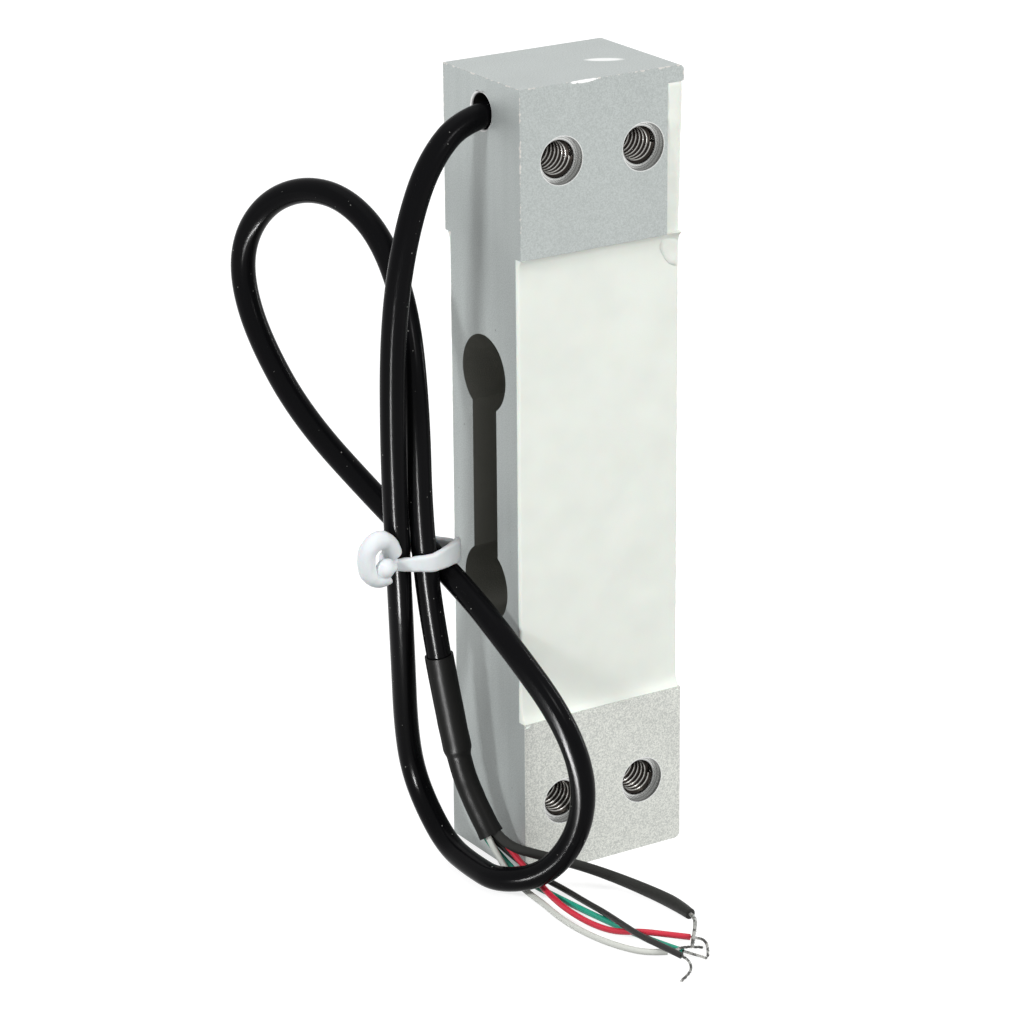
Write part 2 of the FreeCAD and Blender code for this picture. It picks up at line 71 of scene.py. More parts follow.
# Cable, in millimetres, from its hole in the bar round both loops to the sleeve
CABLE_DIAMETER = 4.0
CABLE_ROUTE = [
    (-8.0, -0.4, 124.5), (-17.6, -0.4, 124.5), (-25.0, -1.0, 118.5), (-29.3, -1.0, 107.6),
    (-31.5, -0.2, 93.0), (-31.5, 0.5, 72.0), (-29.6, 2.5, 51.0), (-26.5, 7.0, 34.5),
    (-24.2, 10.4, 21.5), (-22.6, 11.2, 13.0), (-21.6, 8.1, 6.7), (-21.5, 2.0, 2.5),
    (-21.9, -6.0, 2.2), (-21.7, -13.7, 2.4), (-17.2, -20.9, 5.2), (-12.6, -23.3, 12.2),
    (-11.35, -22.9, 21.2), (-13.85, -20.05, 31.2), (-18.0, -12.5, 41.0), (-20.0, -0.2, 48.6),
    (-27.2, 12.4, 60.0), (-33.2, 26.0, 71.6), (-35.7, 35.2, 83.0), (-36.5, 38.8, 92.3),
    (-35.6, 38.3, 99.6), (-33.2, 34.4, 105.5), (-30.0, 28.0, 108.5), (-27.1, 20.6, 107.8),
    (-25.1, 13.2, 102.8), (-25.3, 5.8, 93.2), (-26.6, 1.0, 79.0), (-27.0, 0.0, 60.0),
    (-23.6, 2.0, 39.2), (-21.8, -1.6, 21.2),
]

# Heat-shrink sleeve, from its upper end on the cable to its mouth
SLEEVE_START = (-23.3, 1.4, 36.2)
SLEEVE_BENDS = [(-21.5, -2.2, 18.2), (-20.7, -4.3, 13.2)]
SLEEVE_MOUTH = (-19.3, -7.6, 7.7)
SLEEVE_RIGHT = (0.92, 0.39, 0.0)

# Conductors: place across and along the sleeve, then the way outside it
WIRE_DIAMETER = 1.0
SHIELD_DIAMETER = 1.6
TIN_DIAMETER = 0.5
TIN_STRAIGHT = 1.0
WIRE_OFFSETS = {
    "white_wire": (-1.12, 0.12), "green_wire": (-0.56, -0.98),
    "black_wire": (0.56, -0.98), "red_wire": (1.12, 0.12),
    "shield_sleeve": (0.0, 0.82),
}
WIRE_ROUTES = {
    "white_wire": [
        (-19.3, -10.1, 4.3), (-18.7, -12.5, 1.9), (-18.0, -16.2, 0.55), (-18.1, -21.0, 0.52),
        (-18.7, -26.5, 0.52), (-18.6, -32.0, 0.52), (-17.6, -37.5, 0.52), (-15.9, -42.0, 0.52),
        (-14.0, -44.9, 0.6), (-11.7, -46.5, 0.8),
    ],
    "green_wire": [
        (-18.4, -9.1, 4.2), (-17.2, -12.0, 1.9), (-15.8, -15.3, 0.6), (-15.0, -20.0, 0.52),
        (-14.3, -25.5, 0.52), (-13.2, -32.0, 0.52), (-12.0, -38.0, 0.52), (-10.8, -43.0, 0.52),
        (-9.3, -47.1, 0.52),
    ],
    "red_wire": [
        (-17.3, -10.5, 5.4), (-16.8, -13.6, 3.6), (-16.5, -17.4, 2.2), (-16.9, -21.8, 1.6),
        (-17.0, -26.4, 1.2), (-16.0, -31.5, 0.6), (-14.3, -36.0, 0.55), (-12.0, -39.9, 1.65),
        (-9.2, -42.6, 1.5), (-5.9, -44.2, 0.8),
    ],
    "black_wire": [
        (-17.2, -9.7, 4.6), (-15.85, -13.35, 3.0), (-13.7, -15.2, 1.2), (-12.5, -19.0, 0.6),
        (-12.3, -24.5, 0.6), (-12.9, -30.7, 1.45), (-13.6, -37.0, 2.05), (-13.5, -42.0, 2.0),
        (-12.6, -46.2, 1.9), (-11.3, -49.7, 1.3),
    ],
    "shield_sleeve": [
        (-17.9, -11.8, 6.6), (-15.6, -14.8, 6.1), (-12.0, -17.0, 4.9), (-8.2, -19.0, 3.4),
        (-5.0, -21.6, 2.0), (-2.9, -25.2, 1.2), (-1.7, -29.4, 0.95), (-1.1, -33.7, 0.9),
        (-1.3, -37.6, 0.9),
    ],
}
BARE_ENDS = {
    "black_tinned_end": (
        "black_wire", [(-11.2, -52.3, 0.7), (-12.6, -53.9, 0.4), (-15.1, -55.1, 0.3)],
    ),
    "green_tinned_end": ("green_wire", [(-8.1, -49.3, 0.4), (-7.4, -50.9, 0.3)]),
    "red_tinned_end": ("red_wire", [(-4.2, -45.7, 0.5), (-5.0, -47.9, 0.35), (-6.8, -50.3, 0.3)]),
    "white_tinned_end": ("white_wire", [(-9.2, -47.3, 1.4), (-6.1, -47.9, 0.6)]),
    "drain_wire": ("shield_sleeve", [(-3.4, -42.3, 1.7), (-8.1, -48.0, 1.6)]),
}


# ---- settings


def length_setting(name, description, default):
    return FloatProperty(name=name, description=description, default=default, unit="LENGTH")


def colour_setting(name, description, default):
    return FloatVectorProperty(name=name, description=description, subtype="COLOR", default=default)


class LoadCellSizes(bpy.types.PropertyGroup):
    """Fine relief that the CAD leaves out"""

    edge_break: length_setting("Edge break", "Width of the bevel along the bar's edges", 0.14 * MM)
    thread_pitch: length_setting("Thread pitch", "Rise of the bolt thread for each turn", 1.0 * MM)
    thread_depth: length_setting(
        "Thread depth", "Height of the thread's crests over the hole's wall", 0.5 * MM
    )
    sealant_waviness: length_setting(
        "Sealant waviness", "How far the poured sealant rises and falls", 0.12 * MM
    )


class LoadCellColours(bpy.types.PropertyGroup):
    """Base colours of the finishes"""

    metal: colour_setting("Metal", "Milled aluminium", (0.495, 0.531, 0.520))
    # darkens the walls inside the cut-out as painted shade
    cut_out_shade: colour_setting("Cut-out shade", "Walls of the cut-out, darkened as painted shade", (0.235, 0.235, 0.21))
    sealant: colour_setting("Sealant", "White silicone", (0.795, 0.826, 0.77))
    jacket: colour_setting("Cable jacket", "Black PVC", (0.003, 0.003, 0.0035))
    tie: colour_setting("Tie", "Soft white plastic", (0.69, 0.72, 0.735))
    red: colour_setting("Red wire", "Red insulation", (0.52, 0.022, 0.045))
    green: colour_setting("Green wire", "Green insulation", (0.016, 0.30, 0.20))
    white: colour_setting("White wire", "White insulation", (0.55, 0.56, 0.52))
    black: colour_setting("Black wire", "Black insulation", (0.023, 0.0225, 0.0215))


# ---- mesh helpers


def pick(*objects):
    """Selects only these objects, the first of them active."""
    bpy.ops.object.select_all(action="DESELECT")
    for obj in objects:
        obj.select_set(True)
    bpy.context.view_layer.objects.active = objects[0]


def edit(obj):
    """Goes into edit mode on this object alone, with all of it selected."""
    pick(obj)
    bpy.ops.object.mode_set(mode="EDIT")
    bpy.ops.mesh.select_mode(type="VERT")
    bpy.ops.mesh.select_all(action="SELECT")


def apply_modifier(obj, kind, **settings):
    pick(obj)
    bpy.ops.object.modifier_add(type=kind)
    modifier = obj.modifiers[-1]
    for key, value in settings.items():
        setattr(modifier, key, value)
    bpy.ops.object.modifier_apply(modifier=modifier.name)


def linked(name, data):
    """A new object with this data, in the scene."""
    obj = bpy.data.objects.new(name, data)
    bpy.context.collection.objects.link(obj)
    return obj


def merged_copy(node, name, flat_angle=None):
    """A copy of a CAD node with its own mesh and its triangles joined up."""
    copy = linked(name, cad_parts[node].data.copy())
    edit(copy)
    bpy.ops.mesh.remove_doubles(threshold=MERGE_DISTANCE)
    if flat_angle:
        bpy.ops.mesh.dissolve_limited(angle_limit=math.radians(flat_angle))
    bpy.ops.object.mode_set(mode="OBJECT")
    return copy


def glinting_pieces():
    """The collection of pieces that the glint lamps pick out."""
    name = "Glinting pieces"
    return bpy.data.collections.get(name) or bpy.data.collections.new(name)


def complete(obj, material, replaces=(), smooth_angle=35):
    """Shades a piece, gives it its finish and sets it on the frame."""
    obj.data.materials.clear()
    obj.data.materials.append(material)
    if obj.type == "MESH":
        pick(obj)
        bpy.ops.object.shade_smooth_by_angle(angle=math.radians(smooth_angle))
    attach(obj, "root")
    if replaces:
        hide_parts(*replaces)
    return obj


def outward(obj):
    """Turns every face outwards."""
    edit(obj)
    bpy.ops.mesh.remove_doubles(threshold=MERGE_DISTANCE)
    bpy.ops.mesh.normals_make_consistent(inside=False)
    bpy.ops.object.mode_set(mode="OBJECT")


def ripple(obj, title, lump_size, strength, mid_level=0.5, **settings):
    """Displaces a piece by soft noise with lumps of about this size."""
    texture = bpy.data.textures.new(title, "CLOUDS")
    texture.noise_scale = lump_size
    texture.noise_depth = 2
    apply_modifier(
        obj, "DISPLACE", texture=texture, strength=strength, mid_level=mid_level,
        texture_coords="LOCAL", **settings,
    )


# ---- curve helpers


def vectors(points):
    return [Vector(p) for p in points]


def sleeve_axis():
    return vectors([CABLE_ROUTE[-1], *SLEEVE_BENDS, SLEEVE_MOUTH])


def inside_sleeve(across, forward):
    """A conductor's points inside the sleeve, at its place beside the axis."""
    axis = sleeve_axis()
    steps = [(b - a).normalized() for a, b in zip(axis, axis[1:])]
    directions = steps[:1] + [(a + b).normalized() for a, b in zip(steps, steps[1:])] + steps[-1:]
    points = []
    for centre, direction in zip(axis, directions):
        front = direction.cross(Vector(SLEEVE_RIGHT)).normalized()
        right = front.cross(direction)
        points.append(centre + right * across + front * forward)
    return points


def wire_points(name):
    return inside_sleeve(*WIRE_OFFSETS[name]) + vectors(WIRE_ROUTES[name])


def bare_points(name):
    """The way of a bare end, straight on from its wire at first."""
    wire, route = BARE_ENDS[name]
    before, start = wire_points(wire)[-2:]
    return [start, start + (start - before).normalized() * TIN_STRAIGHT] + vectors(route)


def spline_points(points, steps=12):
    """Points along the clamped quadratic spline that a cord with these points follows."""
    middles = [(a + b) / 2 for a, b in zip(points[1:-2], points[2:-1])]
    joints = [points[0], *middles, points[-1]]
    line = [points[0]]
    for start, knee, end in zip(joints, points[1:-1], joints[1:]):
        for i in range(1, steps + 1):
            t = i / steps
            line.append(start * (1 - t) ** 2 + knee * 2 * t * (1 - t) + end * t ** 2)
    return line


def path_length(points):
    return sum((b - a).length for a, b in zip(points, points[1:]))


def tube_data(name, diameter, rings, steps):
    """Curve data with a round section, for splines in millimetres."""
    data = bpy.data.curves.new(name, "CURVE")
    data.dimensions = "3D"
    data.bevel_depth = diameter / 2 * MM
    data.bevel_resolution = rings
    data.resolution_u = data.render_resolution_u = steps
    data.use_fill_caps = True
    return data


def tube_curve(name, points, diameter, radii=None, rings=12, steps=12):
    """A round tube on an open NURBS spline through a route in millimetres."""
    data = tube_data(name, diameter, rings, steps)
    add_spline(data, points, radii)
    return linked(name, data)


def add_spline(data, points, radii=None):
    spline = data.splines.new("NURBS")
    spline.points.add(len(points) - 1)
    for i, (point, place) in enumerate(zip(spline.points, points)):
        point.co = (*(Vector(place) * MM), 1.0)
        point.radius = radii[i] if radii else 1.0
    spline.order_u = 3
    spline.use_endpoint_u = True


def frames_along(line):
    """Two directions across the line at each of its points, turning as little as they can."""
    side = (line[1] - line[0]).orthogonal().normalized()
    frames = []
    for i in range(len(line)):
        ahead = (line[min(i + 1, len(line) - 1)] - line[max(i - 1, 0)]).normalized()
        side = (side - ahead * side.dot(ahead)).normalized()
        frames.append((side, ahead.cross(side)))
    return frames


def twisted_strands(name, points, diameter, strands, strand_diameter, twists):
    """Fine strands twisted round a line, with one along its middle."""
    line = spline_points(points, 16)
    frames = frames_along(line)
    data = tube_data(name, strand_diameter, 2, 2)
    away = (diameter - strand_diameter) / 2
    for strand in range(strands):
        turn = 2 * math.pi * strand / strands
        path = []
        for i, (point, (side, up)) in enumerate(zip(line, frames)):
            angle = turn + 2 * math.pi * twists * i / (len(line) - 1)
            path.append(point + (side * math.cos(angle) + up * math.sin(angle)) * away)
        add_spline(data, path)
    add_spline(data, line)
    return linked(name, data)


def as_mesh(obj):
    pick(obj)
    bpy.ops.object.convert(target="MESH")
    return bpy.context.view_layer.objects.active


# ---- shader helpers


def add_node(tree, kind, inputs=None, **settings):
    made = tree.nodes.new(kind)
    for key, value in settings.items():
        setattr(made, key, value)
    for key, value in (inputs or {}).items():
        if isinstance(value, bpy.types.NodeSocket):
            tree.links.new(value, made.inputs[key])
        else:
            made.inputs[key].default_value = value
    return made


def compute(tree, operation, *values, clamp=False):
    values = dict(enumerate(values))
    made = add_node(tree, "ShaderNodeMath", values, operation=operation, use_clamp=clamp)
    return made.outputs[0]


def times(tree, first, second, clamp=False):
    return compute(tree, "MULTIPLY", first, second, clamp=clamp)


def minus(tree, first, second, clamp=False):
    return compute(tree, "SUBTRACT", first, second, clamp=clamp)


def magnitude(tree, value):
    return compute(tree, "ABSOLUTE", value)


def ramp(tree, value, low, high):
    """0 below low, 1 above high, and smooth between."""
    made = add_node(
        tree, "ShaderNodeMapRange", {"Value": value, "From Min": low, "From Max": high},
        interpolation_type="SMOOTHSTEP",
    )
    return made.outputs[0]


def mix_colour(tree, share, first, second):
    """The first colour where the share is 0, the second where it is 1."""
    first, second = (
        end if isinstance(end, bpy.types.NodeSocket) else (*end, 1.0) for end in (first, second)
    )
    inputs = {0: share, 6: first, 7: second}
    return add_node(tree, "ShaderNodeMix", inputs, data_type="RGBA").outputs[2]


def dimmed(colour, share):
    return [c * share for c in colour]


def between(tree, share, low, high):
    """Low where the share is 0, high where it is 1."""
    made = add_node(tree, "ShaderNodeMapRange", {"Value": share, "To Min": low, "To Max": high})
    return made.outputs[0]


def new_group(name, inputs, output):
    """A shader node group, the sockets of its named inputs and the socket of its output."""
    tree = bpy.data.node_groups.new(name, "ShaderNodeTree")
    for title, default in inputs.items():
        socket = tree.interface.new_socket(title, in_out="INPUT", socket_type="NodeSocketFloat")
        socket.default_value = default
    tree.interface.new_socket(output, in_out="OUTPUT", socket_type="NodeSocketFloat")
    given = tree.nodes.new("NodeGroupInput").outputs
    return tree, given, tree.nodes.new("NodeGroupOutput").inputs[output]


def place(tree, scale=(1, 1, 1)):
    """Object coordinates, stretched for a pattern."""
    coordinates = tree.nodes.new("ShaderNodeTexCoord").outputs["Object"]
    return add_node(tree, "ShaderNodeMapping", {"Vector": coordinates, "Scale": scale}).outputs[0]


def axes(tree):
    """The object's X, Y and Z as three sockets."""
    return add_node(tree, "ShaderNodeSeparateXYZ", {0: place(tree)}).outputs


def noise(tree, scale, detail=2.0, vector=None, roughness=0.5):
    """Smooth noise from 0 to 1, in object coordinates where no others are given."""
    vector = place(tree) if vector is None else vector
    inputs = {"Vector": vector, "Scale": scale, "Detail": detail, "Roughness": roughness}
    return add_node(tree, "ShaderNodeTexNoise", inputs).outputs[0]


def hypotenuse(tree, first, second):
    first, second = (compute(tree, "POWER", side, 2.0) for side in (first, second))
    return compute(tree, "SQRT", compute(tree, "ADD", first, second))


def seen_rays(tree):
    """1 for rays that show a surface, 0 for those by which it lights others."""
    rays = tree.nodes.new("ShaderNodeLightPath").outputs
    bent = compute(tree, "MAXIMUM", rays["Is Glossy Ray"], rays["Is Transmission Ray"])
    return compute(tree, "MAXIMUM", rays["Is Camera Ray"], bent)


def grain_group():
    """Fine even grain, as blasting or moulding leaves."""
    tree, given, out = new_group("Fine Grain", {"Scale": 2000.0, "Low": 0.3, "High": 0.7}, "Grain")
    made = add_node(tree, "ShaderNodeMapRange", {
        "Value": noise(tree, given["Scale"], 3.0, roughness=0.6),
        "From Min": given["Low"], "From Max": given["High"],
    })
    tree.links.new(made.outputs[0], out)
    return tree


def specks_group():
    """Scattered specks of uneven size, as dust, small nicks, painted highlights and the painted
    shade of pitting.
    """
    tree, given, out = new_group("Specks", {"Scale": 400.0, "Size": 0.2, "Share": 0.2}, "Mask")
    cells = add_node(tree, "ShaderNodeTexVoronoi", {"Vector": place(tree), "Scale": given["Scale"]})
    chosen = add_node(tree, "ShaderNodeSeparateColor", {"Color": cells.outputs["Color"]})
    picked = compute(tree, "LESS_THAN", chosen.outputs[0], given["Share"])
    reach = times(tree, given["Size"], chosen.outputs[1])
    dot = times(tree, minus(tree, reach, cells.outputs["Distance"]), 12.0, clamp=True)
    tree.links.new(times(tree, dot, picked), out)
    return tree


def edge_wear_group():
    """Ragged wear within a short way of the bar's outer edges."""
    tree, given, out = new_group("Edge Wear", {"Wear": 0.0004, "Ragged": 900.0}, "Mask")
    x, y, z = axes(tree)
    across = minus(tree, BAR_HALF_WIDTH, magnitude(tree, x))
    through = minus(tree, BAR_HALF_THICKNESS, magnitude(tree, y))
    along = compute(tree, "MINIMUM", minus(tree, BAR_LENGTH, z), z)
    nearest = compute(tree, "MINIMUM", across, through)
    further = compute(tree, "MAXIMUM", across, through)
    second = compute(tree, "MAXIMUM", nearest, compute(tree, "MINIMUM", further, along))
    ragged = ramp(tree, noise(tree, given["Ragged"], 4.0), 0.44, 0.70)
    close = minus(tree, times(tree, given["Wear"], ragged), second)
    share = compute(tree, "DIVIDE", close, times(tree, given["Wear"], 0.25), clamp=True)
    tree.links.new(share, out)
    return tree


def bolt_distance_group():
    """Distance in metres from the axis of the nearest bolt hole."""
    tree, _, out = new_group("Bolt Distance", {}, "Distance")
    x, _, z = axes(tree)
    across = minus(tree, magnitude(tree, x), BOLT_X)
    from_middle = magnitude(tree, minus(tree, z, BAR_LENGTH / 2))
    along = minus(tree, from_middle, BAR_LENGTH / 2 - BOLT_FROM_END)
    tree.links.new(hypotenuse(tree, across, along), out)
    return tree


GROUP_MAKERS = {
    "Fine Grain": grain_group, "Specks": specks_group, "Edge Wear": edge_wear_group,
    "Bolt Distance": bolt_distance_group,
}


def use_group(tree, name, **inputs):
    group = bpy.data.node_groups.get(name) or GROUP_MAKERS[name]()
    made = tree.nodes.new("ShaderNodeGroup")
    made.node_tree = group
    for key, value in inputs.items():
        made.inputs[key.replace("_", " ").title()].default_value = value
    return made.outputs[0]


def new_material(name, colour, roughness, metallic=0.0, **sockets):
    material = bpy.data.materials.new(name)
    material.use_nodes = True
    shader = material.node_tree.nodes["Principled BSDF"]
    shader.inputs["Base Color"].default_value = (*colour, 1.0)
    shader.inputs["Roughness"].default_value = roughness
    shader.inputs["Metallic"].default_value = metallic
    for key, value in sockets.items():
        shader.inputs[key.replace("_", " ")].default_value = value
    return material, material.node_tree, shader


def add_bump(tree, shader, height, distance):
    """Raises the surface by this distance where height is 1, over what is there."""
    before = shader.inputs["Normal"].links
    inputs = {"Height": height, "Distance": distance, "Strength": 1.0}
    if before:
        inputs["Normal"] = before[0].from_socket
    bump = add_node(tree, "ShaderNodeBump", inputs)
    tree.links.new(bump.outputs[0], shader.inputs["Normal"])


# ---- finishes


def inside_box(tree, low, high):
    """1 inside a box of the object's own coordinates, and 0 outside."""
    share = 1.0
    for axis, start, end in zip(axes(tree), low, high):
        away = magnitude(tree, minus(tree, axis, (start + end) / 2))
        share = times(tree, share, compute(tree, "LESS_THAN", away, (end - start) / 2))
    return share


def round_mark(tree, centre, size, turn=0.0):
    """1 in the middle of an ellipsoid and 0 outside it, for a single mark turned about Z."""
    inputs = {
        "Vector": tree.nodes.new("ShaderNodeTexCoord").outputs["Object"],
        "Location": centre, "Rotation": (0, 0, math.radians(turn)), "Scale": size,
    }
    vector = add_node(tree, "ShaderNodeMapping", inputs, vector_type="TEXTURE").outputs[0]
    length = add_node(tree, "ShaderNodeVectorMath", {0: vector}, operation="LENGTH")
    return minus(tree, 1.0, length.outputs["Value"], clamp=True)


LOWER_BLOCK_METAL = (0.81, 0.815, 0.755)
NICKED_METAL = (0.16, 0.15, 0.14)
# bright specks painted as highlights on the metal
PAINTED_GLINT = (0.9, 0.9, 0.9)
WORN_METAL = (0.66, 0.645, 0.61)
CHIPPED_METAL = (0.98, 0.98, 0.97)
# bright colour of the painted highlight on the top
PAINTED_TOP_HIGHLIGHT = (0.88, 0.89, 0.88)
# bright rim of the cable's hole, a painted highlight
HOLE_RIM_HIGHLIGHT = (0.74, 0.74, 0.73)
# dark wall of the cable's hole, painted shade
HOLE_WALL_SHADE = (0.05, 0.048, 0.044)
TURNED_LOW, TURNED_HIGH = (0.24, 0.24, 0.232), (0.70, 0.71, 0.70)
METAL_SHINE = 0.5


def milled_tone(tree, metal, grain, height):
    """Soft blotches, streaks down the sides, a paler and coarser lower block, dark nicks, and
    bright specks as painted highlights.
    """
    blotches = noise(tree, 90.0, 3.0, place(tree, (1, 1, 0.25)))
    tone = mix_colour(tree, ramp(tree, blotches, 0.35, 0.7), metal, dimmed(metal, 0.95))
    normal = tree.nodes.new("ShaderNodeTexCoord").outputs["Normal"]
    sideways = add_node(tree, "ShaderNodeSeparateXYZ", {0: normal}).outputs[0]
    side = ramp(tree, magnitude(tree, sideways), 0.6, 0.95)
    drawn = ramp(tree, noise(tree, 420.0, 3.0, place(tree, (1, 1, 0.06))), 0.45, 0.75)
    streaks = times(tree, side, drawn)
    tone = mix_colour(tree, times(tree, streaks, 0.25), tone, dimmed(metal, 0.75))
    low_block = ramp(tree, height, 34 * MM, 26 * MM)
    below = times(tree, low_block, minus(tree, 1.0, side))
    coarse = compute(tree, "ADD", 0.42, times(tree, below, 0.16))
    tone = mix_colour(tree, times(tree, below, 0.8), tone, LOWER_BLOCK_METAL)
    tone = mix_colour(tree, times(tree, grain, coarse), tone, dimmed(metal, 0.55))
    nicks = use_group(tree, "Specks", scale=330.0, size=0.10, share=0.10)
    tone = mix_colour(tree, nicks, tone, NICKED_METAL)
    # painted highlights: bright specks that stand for light catching the grain
    painted_glints = use_group(tree, "Specks", scale=240.0, size=0.11, share=0.14)
    return mix_colour(tree, painted_glints, tone, PAINTED_GLINT)


def top_marks(tree, tone):
    """A torn chip on the top's front edge, and a painted highlight behind it, a bright ellipse
    turned 30 degrees about Z.
    """
    chip = round_mark(
        tree, (-3.4 * MM, -BAR_HALF_THICKNESS, BAR_LENGTH - 0.1 * MM),
        (3.4 * MM, 0.45 * MM, 0.55 * MM),
    )
    torn = times(tree, noise(tree, 1200.0), 6.0)
    chipped = ramp(tree, times(tree, chip, torn), 0.9, 1.1)
    tone = mix_colour(tree, chipped, tone, CHIPPED_METAL)
    # painted highlight: a bright ellipse on the top that stands for reflected light
    highlight_spot = round_mark(
        tree, (6.4 * MM, -1.7 * MM, BAR_LENGTH), (3.4 * MM, 1.2 * MM, 1.0 * MM), turn=-30
    )
    painted_highlight = times(tree, highlight_spot, 3.0, clamp=True)
    return mix_colour(tree, painted_highlight, tone, PAINTED_TOP_HIGHLIGHT)


def painted_opening_light_and_shade(tree, tone, cut_out_shade, x, y, z):
    """Painted shade on the walls inside the cut-out, and at the cable's hole a painted highlight on
    its rim and painted shade on its wall.
    """
    end = BAR_HALF_WIDTH - 0.06 * MM
    cut = inside_box(tree, (-end, -CUT_OUT_REACH, CUT_OUT_LOW), (end, CUT_OUT_REACH, CUT_OUT_HIGH))
    # painted shade on the walls inside the cut-out
    tone = mix_colour(tree, cut, tone, cut_out_shade)
    from_axis = hypotenuse(tree, y, minus(tree, z, CABLE_HOLE_Z))
    # the rim gets a painted highlight, the wall painted shade
    for reach, outer, inner, metal in (
        (-BAR_HALF_WIDTH + 1.0 * MM, 0.44 * MM, 0.34 * MM, HOLE_RIM_HIGHLIGHT),
        (0.0, 0.06 * MM, 0.02 * MM, HOLE_WALL_SHADE),
    ):
        near_hole = ramp(tree, from_axis, CABLE_HOLE_RADIUS + outer, CABLE_HOLE_RADIUS + inner)
        share = times(tree, compute(tree, "LESS_THAN", x, reach), near_hole)
        tone = mix_colour(tree, share, tone, metal)
    return tone


def metal_finish():
    """Milled aluminium, worn at its upper edges, turned bright at the bolts' counterbores, with
    painted highlights and painted shade on its top and at its openings.
    """
    colours = bpy.context.scene.load_cell_colours
    metal = tuple(colours.metal)
    material, tree, shader = new_material("Milled aluminium", metal, 0.45, METAL_SHINE)
    grain = use_group(tree, "Fine Grain", scale=4600.0, low=0.36, high=0.64)
    x, y, z = axes(tree)
    tone = milled_tone(tree, metal, grain, z)
    wear = use_group(tree, "Edge Wear", wear=0.32 * MM, ragged=1500.0)
    worn = times(tree, wear, ramp(tree, z, 95 * MM, 110 * MM))
    tone = mix_colour(tree, worn, tone, WORN_METAL)
    tone = top_marks(tree, tone)
    tone = painted_opening_light_and_shade(tree, tone, tuple(colours.cut_out_shade), x, y, z)
    from_bolt = use_group(tree, "Bolt Distance")
    bored = ramp(tree, from_bolt, BOLT_RELIEF_RADIUS + 0.14 * MM, BOLT_RELIEF_RADIUS + 0.08 * MM)
    section = add_node(tree, "ShaderNodeCombineXYZ", {0: from_bolt, 1: y}).outputs[0]
    rings = ramp(tree, noise(tree, 2000.0, vector=section), 0.36, 0.62)
    tone = mix_colour(tree, bored, tone, mix_colour(tree, rings, TURNED_LOW, TURNED_HIGH))
    rough = between(tree, bored, between(tree, grain, 0.36, 0.50), 0.24)
    tree.links.new(tone, shader.inputs["Base Color"])
    tree.links.new(rough, shader.inputs["Roughness"])
    tree.links.new(between(tree, bored, METAL_SHINE, 1.0), shader.inputs["Metallic"])
    add_bump(tree, shader, grain, 0.014 * MM)
    add_bump(tree, shader, worn, 0.03 * MM)
    return material


def thread_finish():
    """Cut thread, bright on its crests, and darkened at its roots as painted shade with a brown
    tint of oil.
    """
    material, tree, shader = new_material("Cut thread", (0.03, 0.027, 0.023), 0.25, 1.0)
    from_bolt = use_group(tree, "Bolt Distance")
    crest = ramp(tree, from_bolt, BOLT_HOLE_RADIUS - 0.32 * MM, BOLT_HOLE_RADIUS - 0.49 * MM)
    # roots darkened as painted shade, with a brown tint of oil
    tone = mix_colour(tree, crest, (0.024, 0.021, 0.018), (0.50, 0.49, 0.465))
    tree.links.new(tone, shader.inputs["Base Color"])
    add_bump(tree, shader, use_group(tree, "Fine Grain", scale=2600.0), 0.006 * MM)
    return material


def sealant_finish():
    """White silicone with soft unevenness, and a few dark specks of painted shade that stand for
    pitting.
    """
    white = tuple(bpy.context.scene.load_cell_colours.sealant)
    material, tree, shader = new_material(
        "White silicone", white, 0.42, Subsurface_Weight=0.15, Subsurface_Scale=0.6 * MM,
        Specular_IOR_Level=0.28,
    )
    soft = ramp(tree, noise(tree, 110.0), 0.3, 0.75)
    tone = mix_colour(tree, soft, white, dimmed(white, 0.95))
    # painted shade: dark specks that stand for small hollows in the sealant
    pit_shade = use_group(tree, "Specks", scale=90.0, size=0.045, share=0.10)
    tone = mix_colour(tree, pit_shade, tone, dimmed(white, 0.62))
    tree.links.new(tone, shader.inputs["Base Color"])
    add_bump(tree, shader, use_group(tree, "Fine Grain", scale=900.0), 0.008 * MM)
    return material


def polymer_finish(name, colour, roughness, dust=0.0, grain=0.006, **sockets):
    """Moulded or extruded plastic with a little grain and, where asked, dust."""
    material, tree, shader = new_material(name, colour, roughness, **sockets)
    fine = use_group(tree, "Fine Grain", scale=1500.0)
    add_bump(tree, shader, fine, grain * MM)
    if dust:
        specks = use_group(tree, "Specks", scale=1500.0, size=0.24, share=dust)
        dusty = mix_colour(tree, times(tree, specks, 0.6), colour, (0.30, 0.30, 0.28))
        tree.links.new(dusty, shader.inputs["Base Color"])
    return material


def tinned_finish(name="Tinned copper", colour=(0.52, 0.52, 0.50)):
    """Solder-coated strands, bright where the coat is smooth and dull between."""
    material, tree, shader = new_material(name, colour, 0.28, 1.0)
    smooth = ramp(tree, noise(tree, 900.0), 0.42, 0.58)
    tone = mix_colour(tree, smooth, dimmed(colour, 0.22), colour)
    tree.links.new(tone, shader.inputs["Base Color"])
    add_bump(tree, shader, use_group(tree, "Fine Grain", scale=4000.0), 0.01 * MM)
    return material


# ---- operators


